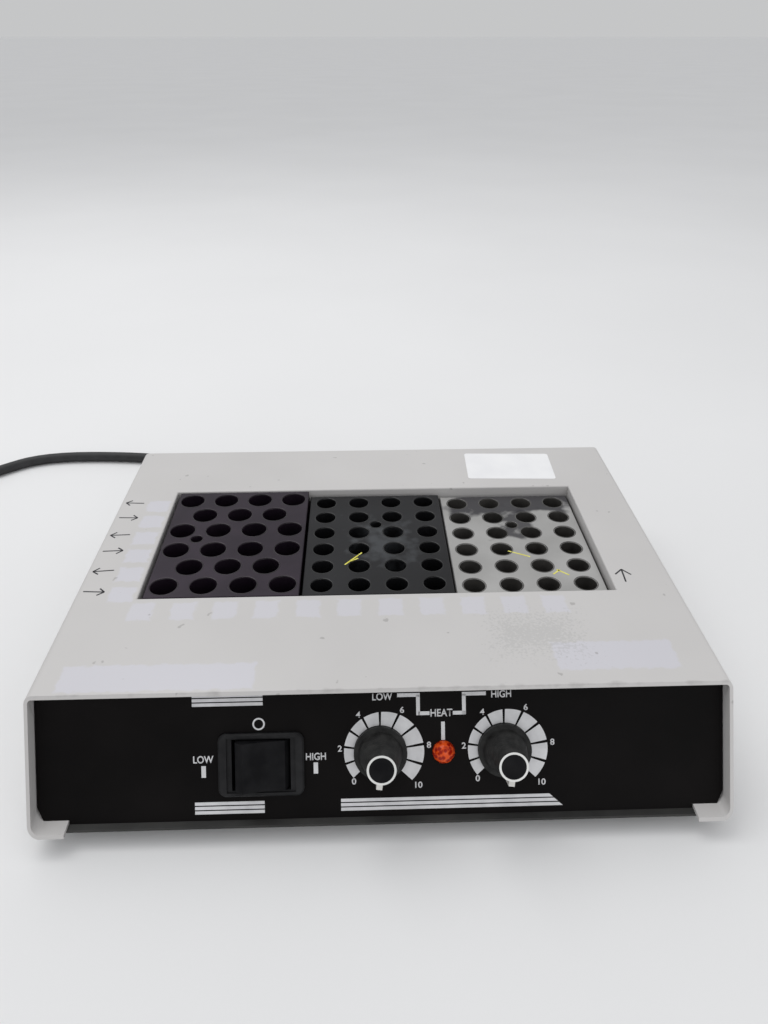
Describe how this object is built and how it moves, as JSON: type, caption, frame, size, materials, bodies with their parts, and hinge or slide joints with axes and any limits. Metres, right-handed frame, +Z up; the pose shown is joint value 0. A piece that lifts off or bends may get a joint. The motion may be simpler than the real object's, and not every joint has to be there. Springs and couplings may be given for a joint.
{
  "type": "dry block heater",
  "caption": "Bench dry block heater: folded case with a sloping control panel, heated well holding lift-out drilled tube blocks, turning heat knobs, rocker switch and mains cord",
  "frame": {"origin": "centre of the footprint at table level, without the cord", "axes": "X to the right of someone at the panel, Y from the panel to the back, Z up"},
  "size_m": [0.5781, 0.3598, 0.061],
  "materials": {
    "case_paint": "satin light grey enamel",
    "panel_black": "matt black",
    "rubber": "matt",
    "steel": "zinc plated",
    "liner_steel": "bare sheet",
    "plate_aluminium": "machined",
    "mica": "mica sheet",
    "fibre": "ceramic fibre board",
    "purple_anodised": "anodised dark purple",
    "dark_anodised": "anodised near black",
    "bare_aluminium": "milled, stained",
    "black_plastic": "moulded",
    "brown_plastic": "phenolic moulding",
    "silver": "bright ring",
    "white_plastic": "white",
    "red_lens": "clear red",
    "cord_rubber": "black jacket",
    "brass": "plated"
  },
  "bodies": {
    "case": {"top_cover": "case_paint", "base_plate": "case_paint", "front_panel": "panel_black", "rear_panel": "case_paint", "rubber_feet": "rubber", "foot_screws": "steel", "cover_screws": "steel", "well_liner": "liner_steel", "heater_plate": "plate_aluminium", "heating_element": "mica", "insulation_pad": "fibre", "plate_posts": "steel", "thermal_cutout": "brown_plastic", "lamp_lens": "red_lens", "lamp_holder": "black_plastic", "switch_body": "black_plastic", "terminal_block": "brown_plastic", "strain_relief": "black_plastic", "cord_lead": "cord_rubber", "cord_coil": "cord_rubber", "cord_tie": "black_plastic", "plug_body": "cord_rubber", "plug_blades": "brass", "control_low": "brown_plastic", "panel_nut_low": "steel", "control_high": "brown_plastic", "panel_nut_high": "steel"},
    "left_block_body": {"left_block": "purple_anodised"},
    "middle_block_body": {"middle_block": "dark_anodised"},
    "right_block_body": {"right_block": "bare_aluminium"},
    "knob_low_body": {"shaft_low": "steel", "knob_low": "black_plastic", "knob_low_ring": "silver", "knob_low_pointer": "white_plastic"},
    "knob_high_body": {"shaft_high": "steel", "knob_high": "black_plastic", "knob_high_ring": "silver", "knob_high_pointer": "white_plastic"},
    "rocker_body": {"switch_rocker": "black_plastic"}
  },
  "joints": [
    {"name": "left_block_lift", "type": "slide", "parent": "case", "child": "left_block_body", "axis": [0, 0, 1], "range_m": [0, 0.06]},
    {"name": "middle_block_lift", "type": "slide", "parent": "case", "child": "middle_block_body", "axis": [0, 0, 1], "range_m": [0, 0.06]},
    {"name": "right_block_lift", "type": "slide", "parent": "case", "child": "right_block_body", "axis": [0, 0, 1], "range_m": [0, 0.06]},
    {"name": "knob_low_turn", "type": "hinge", "parent": "case", "child": "knob_low_body", "pos_m": [-0.0012, -0.10133, 0.03307], "axis": [0, 0.8626, -0.5059], "range_deg": [0, 307]},
    {"name": "knob_high_turn", "type": "hinge", "parent": "case", "child": "knob_high_body", "pos_m": [0.052, -0.10133, 0.03307], "axis": [0, 0.8626, -0.5059], "range_deg": [0, 307]},
    {"name": "rocker_tilt", "type": "hinge", "parent": "case", "child": "rocker_body", "pos_m": [-0.052, -0.10183, 0.02884], "axis": [0, -0.5059, -0.8626], "range_deg": [0, 26]}
  ]
}
